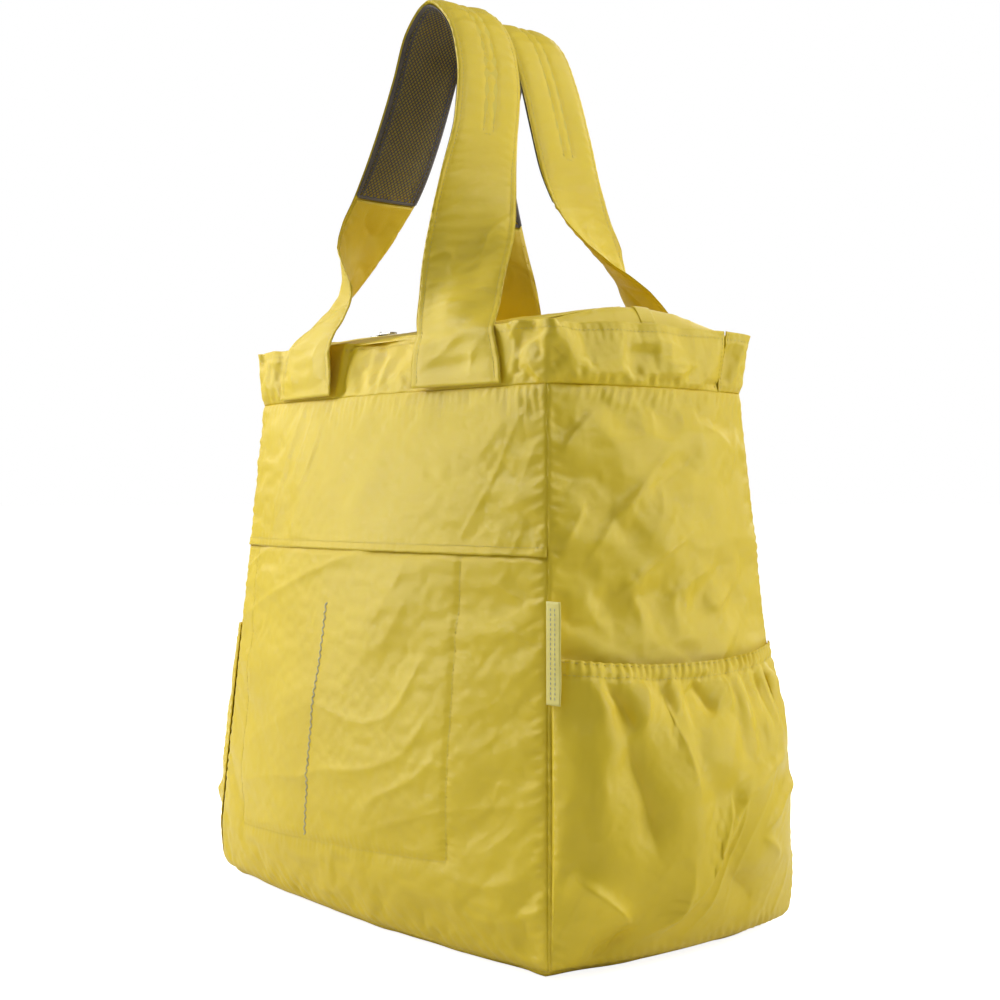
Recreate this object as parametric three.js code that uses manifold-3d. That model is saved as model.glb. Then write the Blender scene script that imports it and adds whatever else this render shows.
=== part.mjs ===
// Foldable nylon tote bag, standing and filled out, as separate sewn pieces.
// Millimetres, +Z up. Origin: on the ground under the middle of the bag. The front faces -Y.
import * as THREE from "three";
import { mergeVertices } from "three/addons/utils/BufferGeometryUtils.js";
import Module from "manifold-3d";

const wasm = await Module();
wasm.setup();

// ---- Driving dimensions ----
const CLOTH = 1.2; // thickness given to one layer of nylon
const GAP = 0.5; // clearance between pieces that are sewn together

const BASE_HALF = [194.5, 110.5]; // half width and half depth at the widest height
const RIM_HALF = [168, 88]; // the same at the rim seam
const WIDEST_Z = 40;
const RIM_Z = 366;
const BAND_HEIGHT = 40;
const BAND_FLARE = [4, 3]; // how much wider and deeper the band's top is than the rim seam
const FOOT_TUCK = 3; // how far the walls pull in under the widest height
const SEAM_Z = 15.3; // the seam between walls and bottom panel
const BULGE = { wide: [24, 10], narrow: [16, 2] }; // of a wall: at its fullest, and lost by the rim
const RIM_BULGE = { wide: 14, narrow: 14 };

const SLIT_Z = [256.7, 261.2]; // mouth of the front pocket
const SLIT_X = [-158, 118]; // its two ends
const SLIT_TAPER = 8; // length over which it opens to its full height
const POCKET_X = [-150, 112];
const POCKET_Z = [50, 275];
const POCKET_DEPTH = 18;
const ZIGZAG = { x: [-42, -22], z: [55, 222], pitch: 6, swing: 2, thread: 1 }; // foot and top

const SIDE_POCKET = { foot: 17, ends: 196, dip: 6, lift: 2.6, mouth: 12, belly: 24, elastic: 10 };
const SIDE_POCKET_GRIP = { front: 12, rear: 4 }; // how abruptly it swells beside each upright seam
const LABEL = { z: 168, height: 63, width: 12, fabric: 0.8, slit: 0.6, off: [1.4, -1.5] };

const FLAP = { halfLength: 158, hinge: 88.9, z: 404, rise: 16, edge: 8.6 };
const ZIP = { tape: [3.2, 8.3], coil: [0.3, 2.9], coilHalfLength: 146 };
const SLIDER = { x: -140, length: 13, width: 9, height: 2.4, bridge: 3.3 };
const PULL = { length: 24, width: 7, thick: 1.2, eye: 4.6 };

const STRAP_HALF_WIDTH = { base: 42, leg: 30.5, top: 27.5, legZ: 440 };
const STRAP_TURN = { base: 7, from: 404, span: 150, ease: 1.4 }; // degrees; heights it turns over
const STRAP_PAD = { share: [0.255, 0.745], half: 2.5, fade: 0.05, halfWidth: 23 };
const LAYER_GAP = 0.6; // between the layers of a strap
// Half of each strap's centre line, from the base to the top: across, out from the bag, up.
const FRONT_STRAP = [
  [91, 102, 367],
  [87, 100.5, 403],
  [75, 84, 434],
  [60, 62, 480],
  [53, 50, 520],
  [47, 38, 560],
  [38, 30, 600],
  [24, 29, 632],
  [0, 29, 648],
];
const REAR_STRAP = [
  ...FRONT_STRAP.slice(0, 2),
  [73, 78, 436],
  [58, 52, 480],
  [51, 39, 520],
  [45, 32, 560],
  [33, 30, 600],
  [19, 29, 628],
  [0, 29, 641],
];

// ---- Materials ----
const cloth = (color, roughness = 0.5) =>
  new THREE.MeshStandardMaterial({ color, roughness, metalness: 0 });
const YELLOW = 0xe6d44f;
const GOLD = 0xe6c026;
const DARK_MESH = 0x55514a;
const FOAM = 0xe9e4cf;
const THREAD = 0xc9c9b4;
const NICKEL = 0xb9bcc0;
const LABEL_TINT = 0xf0e36a;

const bag = new THREE.Group();

function add(name, geometry, material = cloth(YELLOW)) {
  const mesh = new THREE.Mesh(geometry, material);
  mesh.name = name;
  bag.add(mesh);
  return mesh;
}

// ---- Sheets ----
const clamp01 = (t) => Math.min(1, Math.max(0, t));
const smooth = (t) => clamp01(t) ** 2 * (3 - 2 * clamp01(t));
const mix = (a, b, t) => a + (b - a) * t;
const steps = (from, to, count) => Array.from({ length: count + 1 }, (_, i) => mix(from, to, i / count));

function bare(geometry) {
  geometry.deleteAttribute("normal");
  geometry.deleteAttribute("uv");
  return mergeVertices(geometry, 1e-4);
}

function normalAt(place, u, v) {
  const tiny = 1e-4;
  const du = place(u + tiny, v).sub(place(u - tiny, v));
  const dv = place(u, v + tiny).sub(place(u, v - tiny));
  return du.cross(dv).normalize();
}

// A one-cell-deep box whose lower face is split along the same diagonals as its upper face,
// so that the two faces of a twisted sheet stay the same distance apart.
function gridBox(nu, nv) {
  const box = new THREE.BoxGeometry(nu, nv, 1, nu, nv, 1);
  const { start, count } = box.groups.at(-1);
  const index = box.index.array;
  for (let i = start; i < start + count; i += 6) {
    const [a, b, d, , c] = index.slice(i, i + 6);
    index.set([a, b, c, a, c, d], i);
  }
  return bare(box);
}

// A closed sheet over place(u, v): it lies between two distances along the surface's normal.
function sheet(place, us, vs, inner = -CLOTH, outer = 0) {
  const [nu, nv] = [us.length - 1, vs.length - 1];
  const solid = gridBox(nu, nv);
  const at = solid.attributes.position;
  for (let i = 0; i < at.count; i++) {
    const u = us[Math.round(at.getX(i) + nu / 2)];
    const v = vs[Math.round(at.getY(i) + nv / 2)];
    const side = at.getZ(i) > 0 ? outer : inner;
    const lift = typeof side === "function" ? side(u, v) : side;
    const p = place(u, v).addScaledVector(normalAt(place, u, v), lift);
    at.setXYZ(i, p.x, p.y, p.z);
  }
  return solid;
}

// ---- The bag's walls ----
// ring(t, z): front 0 to 1, right 1 to 2, rear 2 to 3, left 3 to 4, counter-clockwise from above.
function cornerAt(z) {
  const up = clamp01((z - WIDEST_Z) / (RIM_Z - WIDEST_Z));
  const band = clamp01((z - RIM_Z) / BAND_HEIGHT);
  const tuck = FOOT_TUCK * clamp01(1 - z / WIDEST_Z) ** 2;
  return [0, 1].map((i) => mix(BASE_HALF[i], RIM_HALF[i], up) + BAND_FLARE[i] * band - tuck);
}

function bulgeAt(z, kind) {
  if (z > RIM_Z) return RIM_BULGE[kind] * (1 - clamp01((z - RIM_Z) / BAND_HEIGHT));
  const [most, lost] = BULGE[kind];
  const middle = RIM_Z / 2;
  return most - lost * ((z - middle) / middle) ** 2;
}

function ring(t, z) {
  const side = ((Math.floor(t) % 4) + 4) % 4;
  const e = 2 * (t - Math.floor(t)) - 1;
  const [hx, hy] = cornerAt(z);
  const out = side % 2 ? hx + bulgeAt(z, "narrow") * (1 - e * e) : hy + bulgeAt(z, "wide") * (1 - e * e);
  const along = e * (side % 2 ? hy : hx);
  const spots = [
    [along, -out],
    [out, along],
    [-along, out],
    [-out, -along],
  ];
  return new THREE.Vector3(...spots[side], z);
}

const frontT = (x, z) => (x / cornerAt(z)[0] + 1) / 2;
const front = (x, z) => ring(frontT(x, z), z);

const WIDE_END = 0.0006; // a wide wall reaches its corners
const NARROW_END = 0.0115; // a narrow wall ends between the wide walls' edges
const WALL_TOP = RIM_Z - 0.2;
const BAND_FOOT = RIM_Z + 0.4;
const BAND_TOP = RIM_Z + BAND_HEIGHT;
const BAND_JOIN = 0.83; // share of a narrow side that the front band covers

function walls() {
  const lowTop = (t) => {
    const x = (2 * t - 1) * cornerAt(SLIT_Z[0])[0];
    const open = clamp01(Math.min(x - SLIT_X[0], SLIT_X[1] - x) / SLIT_TAPER);
    return mix(SLIT_Z[1], SLIT_Z[0], open);
  };
  const lower = (t, share) => ring(t, mix(SEAM_Z, lowTop(t), share));
  const [left, right] = SLIT_X;
  const mouth = [left, left + SLIT_TAPER, right - SLIT_TAPER, right].map((x) => frontT(x, SLIT_Z[0]));
  const lowerStops = [WIDE_END, ...mouth, 0.3, 0.5, 0.7, 1 - WIDE_END].sort((a, b) => a - b);
  add("front_lower_panel", sheet(lower, lowerStops, steps(0, 1, 7)));
  const upperHeights = steps(SLIT_Z[1] + GAP, WALL_TOP, 4);
  add("front_upper_panel", sheet(ring, steps(WIDE_END, 1 - WIDE_END, 8), upperHeights));
  const heights = [SEAM_Z, 26, 40, 90, 150, 220, 290, WALL_TOP];
  add("back_panel", sheet(ring, steps(2 + WIDE_END, 3 - WIDE_END, 8), heights));
  add("right_gusset", sheet(ring, steps(1 + NARROW_END, 2 - NARROW_END, 6), heights));
  add("left_gusset", sheet(ring, steps(3 + NARROW_END, 4 - NARROW_END, 6), heights));
}

function bottomPanel() {
  const [hx, hy] = cornerAt(SEAM_Z).map((h) => h - 0.4);
  const flat = 0.9;
  const top = SEAM_Z - 1.3;
  const place = (u, v) => {
    const rim = clamp01((Math.max(Math.abs(u), Math.abs(v)) - flat) / (1 - flat));
    const x = u * (hx + bulgeAt(SEAM_Z, "narrow") * (1 - v * v));
    const y = -v * (hy + bulgeAt(SEAM_Z, "wide") * (1 - u * u));
    return new THREE.Vector3(x, y, top * rim ** 1.6);
  };
  const stops = [-1, -0.975, -0.94, -flat, -0.4, 0.4, flat, 0.94, 0.975, 1];
  add("bottom_panel", sheet(place, stops, stops));
}

function bands() {
  const heights = [BAND_FOOT, RIM_Z + 14, RIM_Z + 27, BAND_TOP];
  const frontStops = [...steps(-BAND_JOIN, 0, 4), ...steps(0.125, 1, 7), ...steps(1.2, 1 + BAND_JOIN, 3)];
  const rearStops = [
    ...steps(1.004 + BAND_JOIN, 2, 1),
    ...steps(2.125, 3, 7),
    3.996 - BAND_JOIN,
  ];
  add("front_band", sheet(ring, frontStops, heights));
  add("rear_band", sheet(ring, rearStops, heights));
}

// Tapes that bind the raw edges inside the bag.
function bindings() {
  const [inner, outer] = [-3.6, -2.5];
  const sides = [3, 4, 5].flatMap((t) => steps(t + 0.25, t + 1, 3));
  const around = [...steps(2.51, 3, 2), ...sides, 6.25, 6.49];
  add("rim_binding", sheet(ring, around, [RIM_Z - 5, RIM_Z, RIM_Z + 5], inner, outer), cloth(GOLD));
  const ends = { front_left: 3.97, front_right: 1.03, rear_right: 1.97, rear_left: 3.03 };
  for (const [corner, t] of Object.entries(ends)) {
    const strip = sheet(ring, [t - 0.018, t + 0.018], [22, 40, 90, 200, RIM_Z - 7], inner, outer);
    add(`${corner}_seam_binding`, strip, cloth(GOLD));
  }
}

// ---- Front pocket ----
function frontPocket() {
  const middle = POCKET_X.reduce((a, b) => a + b) / 2;
  const half = (POCKET_X[1] - POCKET_X[0]) / 2;
  const height = POCKET_Z.reduce((a, b) => a + b) / 2;
  const halfHeight = (POCKET_Z[1] - POCKET_Z[0]) / 2;
  const place = (x, z) => {
    const p = front(x, z);
    const full = (1 - ((x - middle) / half) ** 6) * (1 - ((z - height) / halfHeight) ** 6);
    p.y += 2.4 + POCKET_DEPTH * full;
    return p;
  };
  const edge = [0, 0.04, 0.1, 0.2, 0.35, 0.5, 0.65, 0.8, 0.9, 0.96, 1];
  const stops = (range) => edge.map((share) => mix(...range, share));
  add("front_pocket_lining", sheet(place, stops(POCKET_X), stops(POCKET_Z), -1, 0), cloth(GOLD));
}

function zigzagSeam() {
  const [from, to] = ZIGZAG.z;
  const turns = Math.round((to - from) / (ZIGZAG.pitch / 2));
  const place = (u, k) => {
    const low = Math.floor(k);
    const swing = mix(low % 2 ? 1 : -1, low % 2 ? -1 : 1, k - low);
    const x = mix(...ZIGZAG.x, k / turns);
    return front(x + u * ZIGZAG.thread + swing * ZIGZAG.swing, mix(from, to, k / turns));
  };
  add("zigzag_seam", sheet(place, [-0.5, 0.5], steps(0, turns, turns), 0.3, 1), cloth(THREAD));
}

// ---- Side pockets ----
function sidePocket(name, start) {
  const { foot, ends, dip, lift, mouth, belly, elastic } = SIDE_POCKET;
  const topAt = (e) => ends - dip * (1 - e * e);
  const surface = (t, z) => {
    const e = 2 * (t - start) - 1;
    const share = clamp01((z - foot) / (topAt(e) - foot));
    const p = ring(t, z);
    const grip = p.y < 0 ? SIDE_POCKET_GRIP.front : SIDE_POCKET_GRIP.rear;
    const off = lift + (1 - Math.abs(e) ** grip) * (mouth * share + belly * Math.sin(Math.PI * share));
    p.x += Math.sign(p.x) * off;
    return p;
  };
  const place = (t, share) => surface(t, mix(foot, topAt(2 * (t - start) - 1), share));
  const across = steps(start + NARROW_END, start + 1 - NARROW_END, 14);
  add(`${name}_side_pocket`, sheet(place, across, [0, 0.08, 0.2, 0.4, 0.6, 0.8, 0.92, 1]));
  const nearTop = 1 - elastic / (ends - foot);
  const tape = sheet(place, across.slice(1, -1), [nearTop, 0.99], -3, -1.8);
  add(`${name}_pocket_elastic`, tape, cloth(GOLD, 0.8));
}

// ---- Label: a folded tab sewn into the front right seam ----
function label() {
  const { z, height, width, fabric, slit, off } = LABEL;
  const [low, high] = [z, z + height].map((h) => ring(1, h));
  const deep = fabric + slit / 2;
  const fold = new THREE.Shape();
  fold.moveTo(0, -deep);
  fold.lineTo(width - deep, -deep);
  fold.absarc(width - deep, 0, deep, -Math.PI / 2, Math.PI / 2);
  fold.lineTo(0, deep);
  fold.lineTo(0, slit / 2);
  fold.lineTo(width - deep, slit / 2);
  fold.absarc(width - deep, 0, slit / 2, Math.PI / 2, -Math.PI / 2, true);
  fold.lineTo(0, -slit / 2);
  const tab = new THREE.ExtrudeGeometry(fold, { depth: height, bevelEnabled: false, curveSegments: 6 });
  const mesh = add("label_tab", bare(tab), cloth(LABEL_TINT, 0.7));
  const lean = high.clone().sub(low).normalize();
  mesh.quaternion.setFromUnitVectors(new THREE.Vector3(0, 0, 1), lean);
  mesh.position.copy(low).add(new THREE.Vector3(...off, 0));
}

// ---- Top closure: two flaps that meet at a zip ----
const archAt = (y) => FLAP.rise * Math.sin((Math.PI / 2) * (1 - Math.abs(y) / FLAP.hinge));
const dome = (x, y) => new THREE.Vector3(x, y, FLAP.z + archAt(y));

function closure() {
  const { halfLength, hinge, edge } = FLAP;
  const along = [-halfLength, halfLength];
  const sides = { front: -1, rear: 1 };
  for (const [name, sign] of Object.entries(sides)) {
    const across = (near, far, count) => steps(sign * near, sign * far, count).sort((a, b) => a - b);
    add(`${name}_closure_flap`, sheet(dome, along, across(hinge, edge, 5), -1, 0));
    add(`top_zip_${name}_tape`, sheet(dome, along, across(...ZIP.tape, 1), -0.9, -0.1), cloth(GOLD, 0.7));
    const coil = sheet(dome, [-ZIP.coilHalfLength, ZIP.coilHalfLength], across(...ZIP.coil, 1), -1.4, 0.6);
    add(`top_zip_${name}_coil`, coil, cloth(GOLD, 0.4));
  }
  const endLength = 11.6;
  const start = halfLength + 0.6;
  const ends = { left: -1, right: 1 };
  for (const [name, sign] of Object.entries(ends)) {
    const place = (x, y) => {
      const share = clamp01((Math.abs(x) - start) / endLength);
      return new THREE.Vector3(x, y, FLAP.z + 0.4 + archAt(y) * (1 - share * share));
    };
    const outward = steps(start, start + endLength, 4);
    const inOrder = (xs) => xs.map((x) => sign * x).sort((a, b) => a - b);
    add(`${name}_closure_end`, sheet(place, inOrder(outward), steps(-hinge + 0.8, hinge - 0.8, 8), -1, 0));
    const tab = inOrder([start + 0.6, ...outward.slice(1, -1)]);
    add(`${name}_zip_tab`, sheet(place, tab, [-7, 0, 7], 0.4, 1.2), cloth(GOLD));
  }
}

function asSolid(geometry) {
  const g = bare(geometry);
  const mesh = new wasm.Mesh({
    numProp: 3,
    vertProperties: Float32Array.from(g.attributes.position.array),
    triVerts: Uint32Array.from(g.index.array),
  });
  return new wasm.Manifold(mesh);
}

function asGeometry(solid) {
  const mesh = solid.getMesh();
  return new THREE.BufferGeometry()
    .setAttribute("position", new THREE.BufferAttribute(mesh.vertProperties, 3))
    .setIndex(new THREE.BufferAttribute(mesh.triVerts, 1));
}

const block = (w, d, h, x, y, z) => asSolid(new THREE.BoxGeometry(w, d, h).translate(x, y, z));

function zipSlider() {
  const { x, length, width, height, bridge } = SLIDER;
  const foot = FLAP.z + FLAP.rise + 0.9;
  const outline = new THREE.Shape();
  outline.moveTo(-length / 2, -width / 2 + 2);
  outline.lineTo(-length / 4, -width / 2);
  outline.lineTo(length / 2, -width / 2);
  outline.lineTo(length / 2, width / 2);
  outline.lineTo(-length / 4, width / 2);
  outline.lineTo(-length / 2, width / 2 - 2);
  const body = asSolid(new THREE.ExtrudeGeometry(outline, { depth: height, bevelEnabled: false }));
  const legHeight = bridge + 0.5;
  const legs = [-3.2, 3.2].map((at) => block(1, 2, legHeight, at, 0, height - 0.5 + legHeight / 2));
  const bar = block(7.4, 2, 1, 0, 0, height + bridge - 0.5);
  const mesh = add(
    "zip_slider",
    asGeometry(body.add(legs[0]).add(legs[1]).add(bar)),
    new THREE.MeshStandardMaterial({ color: NICKEL, roughness: 0.35, metalness: 1 }),
  );
  mesh.position.set(x, 0, foot);

  const plate = new THREE.Shape();
  const [rear, end] = [-PULL.thick / 2, PULL.length];
  plate.moveTo(rear, -PULL.width / 2);
  plate.lineTo(end - PULL.width / 2, -PULL.width / 2);
  plate.absarc(end - PULL.width / 2, 0, PULL.width / 2, -Math.PI / 2, Math.PI / 2);
  plate.lineTo(rear, PULL.width / 2);
  const hole = new THREE.Path();
  hole.moveTo(PULL.thick / 2, -1.7);
  hole.lineTo(PULL.thick / 2, 1.7);
  hole.lineTo(PULL.eye, 1.7);
  hole.lineTo(PULL.eye, -1.7);
  plate.holes.push(hole);
  const options = { depth: PULL.thick, bevelEnabled: false, curveSegments: 8 };
  const tab = bare(new THREE.ExtrudeGeometry(plate, options).translate(0, 0, -PULL.thick / 2));
  const pull = add("zip_pull", tab, mesh.material.clone());
  pull.position.set(x, 0, foot + height + 1.1);
}

// ---- Shoulder straps ----
function strapHalfWidth(z) {
  const { base, leg, top, legZ } = STRAP_HALF_WIDTH;
  const apex = FRONT_STRAP.at(-1)[2];
  const nearBase = mix(base, leg, smooth((z - RIM_Z) / (legZ - RIM_Z)));
  return nearBase + (top - leg) * clamp01((z - legZ) / (apex - legZ));
}

function strap(name, half, face) {
  const points = [
    ...half.map(([x, out, z]) => new THREE.Vector3(-x, face * out, z)),
    ...half.slice(0, -1).reverse().map(([x, out, z]) => new THREE.Vector3(x, face * out, z)),
  ];
  const line = new THREE.CatmullRomCurve3(points, false, "centripetal");
  const place = (s, w) => {
    const at = clamp01(s);
    const p = line.getPointAt(at);
    const { base, from, span, ease } = STRAP_TURN;
    const flatness = (1 - clamp01((p.z - from) / span)) ** ease;
    const turn = THREE.MathUtils.degToRad(mix(90, base, flatness));
    const across = new THREE.Vector3(-face * Math.sign(p.x) * Math.cos(turn), Math.sin(turn), 0);
    return p.addScaledVector(across, w * strapHalfWidth(p.z));
  };
  const [from, to] = STRAP_PAD.share;
  const rise = (s) => {
    const inside = Math.min(s - from, to - s) / STRAP_PAD.fade;
    return STRAP_PAD.half * smooth(inside);
  };
  const leftLeg = steps(0.001, from, 14);
  const padded = steps(from, to, 22);
  const rightLeg = steps(to, 0.999, 14);
  const whole = [...leftLeg, ...padded.slice(1), ...rightLeg.slice(1)];
  const width = steps(-1, 1, 4);
  const foamWidth = width.map((w) => (w * STRAP_PAD.halfWidth) / STRAP_HALF_WIDTH.leg);
  const above = [(s) => rise(s) + LAYER_GAP, (s) => rise(s) + LAYER_GAP + CLOTH];
  const below = [(s) => -rise(s) - LAYER_GAP - CLOTH, (s) => -rise(s) - LAYER_GAP];
  const foam = [(s) => -rise(s), (s) => rise(s)];
  add(`${name}_strap_shell`, sheet(place, whole, width, ...above));
  add(`${name}_strap_pad`, sheet(place, padded.slice(1, -1), foamWidth, ...foam), cloth(FOAM, 0.9));
  add(`${name}_strap_mesh`, sheet(place, padded, width, ...below), cloth(DARK_MESH, 0.8));
  const short = 0.003;
  const linings = {
    left: [...leftLeg.slice(0, -1), from - short],
    right: [to + short, ...rightLeg.slice(1)],
  };
  for (const [side, stretch] of Object.entries(linings))
    add(`${name}_strap_${side}_lining`, sheet(place, stretch, width, ...below), cloth(GOLD));
}

walls();
bottomPanel();
bands();
bindings();
frontPocket();
zigzagSeam();
sidePocket("right", 1);
sidePocket("left", 3);
label();
closure();
zipSlider();
strap("front", FRONT_STRAP, -1);
strap("rear", REAR_STRAP, 1);

export default bag;
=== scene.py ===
"""Looks of the foldable tote bag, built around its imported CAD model.

Shapes are worked out in millimetres, in the CAD frame (+Z up, the front faces -Y), as grids of points.
make() turns a grid into a mesh in metres.
"""

import math

import bpy
import numpy as np
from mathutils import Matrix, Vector


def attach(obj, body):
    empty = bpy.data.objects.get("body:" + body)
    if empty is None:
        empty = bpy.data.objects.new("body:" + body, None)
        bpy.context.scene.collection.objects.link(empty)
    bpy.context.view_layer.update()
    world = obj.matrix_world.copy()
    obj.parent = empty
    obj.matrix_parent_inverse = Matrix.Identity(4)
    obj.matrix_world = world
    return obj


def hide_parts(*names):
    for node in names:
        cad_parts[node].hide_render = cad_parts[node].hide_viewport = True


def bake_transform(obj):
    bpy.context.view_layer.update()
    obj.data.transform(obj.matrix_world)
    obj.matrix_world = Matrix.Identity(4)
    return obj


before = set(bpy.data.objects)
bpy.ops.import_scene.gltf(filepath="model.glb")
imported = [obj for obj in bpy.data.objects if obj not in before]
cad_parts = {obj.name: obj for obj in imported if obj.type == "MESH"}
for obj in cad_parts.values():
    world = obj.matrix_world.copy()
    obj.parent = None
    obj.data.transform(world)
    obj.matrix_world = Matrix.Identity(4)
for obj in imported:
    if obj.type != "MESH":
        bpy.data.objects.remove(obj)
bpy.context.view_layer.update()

MM = 0.001

# ---- Dimensions, which follow the CAD model except where a comment says otherwise ----
BASE_HALF = (194.5, 110.5)
RIM_HALF = (168.0, 88.0)
BAND_FLARE = (4.0, 3.0)
WIDEST_Z = 40.0
SEAM_Z = 5.0
RIM_Z = 366.0
BAND_HEIGHT = 40.0
FOOT_TUCK = 3.0
FOOT_ROUND = 15.0
BULGE = {"wide": (24.0, 10.0), "narrow": (16.0, 2.0)}
RIM_BULGE = {"wide": 14.0, "narrow": 14.0}
SLIT_Z = 259.0
POCKET_X = (-150.0, 112.0)
POCKET_Z = (50.0, 275.0)
POCKET_FOOT = (47.0, 62.5)
ZIGZAG = {"x": (-42.0, -22.0), "low": 56.0, "high": 222.0, "pitch": 5.4, "swing": 1.6}
SIDE_POCKET = {"foot": 7.0, "ends": 196.0, "dip": 6.0, "lift": 2.2, "mouth": 12.0, "belly": 23.0}
SIDE_POCKET_GRIP = {"front": 12, "rear": 4}
SIDE_POCKET_CUT = (300.0, 200.0)
LABEL = {"z": 168.0, "height": 63.0, "width": 12.0, "off": (1.4, -1.5)}
FLAP = {"half_length": 158.0, "hinge": 88.9, "z": 404.0, "rise": 16.0, "edge": 8.6}
STRAP_HALF_WIDTH = {"base": 42.0, "leg": 30.5, "top": 27.5, "leg_z": 440.0}
STRAP_TURN = {"base": 7.0, "low": 404.0, "span": 150.0, "ease": 1.4}
# The legs that fold over themselves, which the CAD model twists evenly.
FOLDED_LEG = {"ease": 4.0, "lag": 52.0}
STRAP_PAD = {"share": (0.255, 0.745), "half": 2.5, "fade": 0.05, "half_width": 29.0}
# About 1 mm nearer the band than the CAD model's thicker cloth allows.
STRAP_FOOT = [(91, 101.0, 367), (87, 99.6, 403)]
FRONT_STRAP = STRAP_FOOT + [
    (75, 84, 434), (60, 62, 480), (53, 50, 520), (47, 38, 560), (38, 30, 600), (24, 29, 632), (0, 29, 648),
]
# The front strap's left leg stands further out than the right one, which the CAD model mirrors.
FRONT_STRAP_LEFT_LEG = STRAP_FOOT + [(77, 85, 434), (73, 65, 480), (56, 50, 520)] + FRONT_STRAP[5:]
REAR_STRAP = STRAP_FOOT + [
    (73, 78, 436), (58, 52, 480), (51, 39, 520), (45, 32, 560), (33, 30, 600), (19, 29, 628), (0, 29, 641),
]

CHANNEL = {"half": 4.3, "from": 0.055}
NET = {"step": 3.7, "slope": 1.15, "rib": 0.8, "border": 3.0}

STITCH = {"pitch": 3.0, "length": 2.1, "radius": 0.24}


# ---- Studio ----
FLOOR_HALF = 40.0
# Each lamp's place, the height on the bag's axis that it points at, its size, all in metres, and its watts.
LAMPS = {
    "key": ((-1.0, -0.75, 0.9), 0.25, (0.6, 0.6), 15.5),
    "side": ((1.05, 1.35, 1.2), 0.25, (0.7, 0.9), 23),
    "rear": ((-0.9, 2.0, 1.2), 0.25, (1.2, 1.2), 9),
    "top": ((0.2, -0.3, 2.2), 0.3, (0.8, 0.8), 8),
}


# ---- Small helpers ----
def clamp01(t):
    return np.clip(t, 0.0, 1.0)


def smooth(t):
    t = clamp01(t)
    return t * t * (3 - 2 * t)


def mix(a, b, t):
    return a + (b - a) * t


def ease_bump(distance, width):
    return np.exp(-((distance / width) ** 2))


def wobble(x, seed):
    """A smooth curve between about -1 and 1 that doesn't repeat in sight."""
    phases = np.random.default_rng(seed).random(4) * 2 * math.pi
    rates = (1.0, 1.73, 2.89, 4.41)
    sizes = (0.45, 0.3, 0.15, 0.1)
    return sum(size * np.sin(rate * x + phase) for size, rate, phase in zip(sizes, rates, phases))


def ripples(along, seed, pitch=7.0):
    """Puckers along a seam, uneven in spacing and height."""
    phase = 2 * math.pi * along / pitch + 2.4 * wobble(along / (2.6 * pitch), seed)
    height = 0.65 + 0.45 * wobble(along / (4.1 * pitch), seed + 1)
    return np.sin(phase) * height


# Large odd numbers that scramble a cell's place and seed into its random value.
HASH = (73856093, 19349663, 83492791, 2654435761, 1274126177)


def value_noise(p, seed):
    """Smooth noise between -1 and 1 at points in three dimensions."""
    cell = np.floor(p).astype(np.int64)
    f = p - cell
    f = f * f * f * (f * (f * 6 - 15) + 10)
    total = np.zeros(p.shape[:-1])
    for corner in np.ndindex(2, 2, 2):
        c = cell + np.array(corner)
        mixed = (c[..., 0] * HASH[0]) ^ (c[..., 1] * HASH[1]) ^ (c[..., 2] * HASH[2]) ^ (seed * HASH[3])
        mixed = (mixed ^ (mixed >> 13)) * HASH[4]
        value = ((mixed ^ (mixed >> 16)) & 0xFFFFFF) / 0x7FFFFF - 1.0
        weight = np.prod([f[..., k] if corner[k] else 1 - f[..., k] for k in range(3)], axis=0)
        total += value * weight
    return total


def creases(p, size, seed):
    """Sharp-ridged noise: valleys at 0 and ridges near 1."""
    turned = np.stack([p[..., 0] + 0.5 * p[..., 2], p[..., 1] - 0.4 * p[..., 2], 0.8 * p[..., 2]], -1)
    bent = turned / size + 0.6 * np.stack([value_noise(turned / (2 * size), seed + k) for k in range(3)], -1)
    return (1 - np.abs(value_noise(bent, seed + 9))) ** 2


def normals_of(points):
    du = np.gradient(points, axis=0)
    dv = np.gradient(points, axis=1)
    n = np.cross(du, dv)
    return n / np.maximum(np.linalg.norm(n, axis=-1, keepdims=True), 1e-9)


def cubic_along(a, at):
    """Values of a grid at fractional row numbers."""
    i = np.clip(np.floor(at).astype(int), 0, len(a) - 2)
    f = (at - i).reshape(-1, *[1] * (a.ndim - 1))
    p, q, r, s = (a[np.clip(i + k, 0, len(a) - 1)] for k in (-1, 0, 1, 2))
    return 0.5 * (2 * q + (r - p) * f + (2 * p - 5 * q + 4 * r - s) * f**2 + (3 * q - p - 3 * r + s) * f**3)


def resample(grid, rows, columns):
    return cubic_along(cubic_along(grid, rows).swapaxes(0, 1), columns).swapaxes(0, 1)


def arc_lengths(line):
    steps = np.linalg.norm(np.diff(line, axis=0), axis=1)
    return np.concatenate([[0], np.cumsum(steps)])


def even(low, high, step):
    """Numbers from low to high, about step apart."""
    return np.linspace(low, high, max(2, round(abs(high - low) / step) + 1))


# ---- Meshes ----
def grid_faces(nu, nv, wrap=False):
    i, j = np.meshgrid(np.arange(nu if wrap else nu - 1), np.arange(nv - 1), indexing="ij")
    a = i * nv + j
    b = ((i + 1) % nu) * nv + j
    return np.stack([a, b, b + 1, a + 1], -1).reshape(-1, 4)


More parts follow.
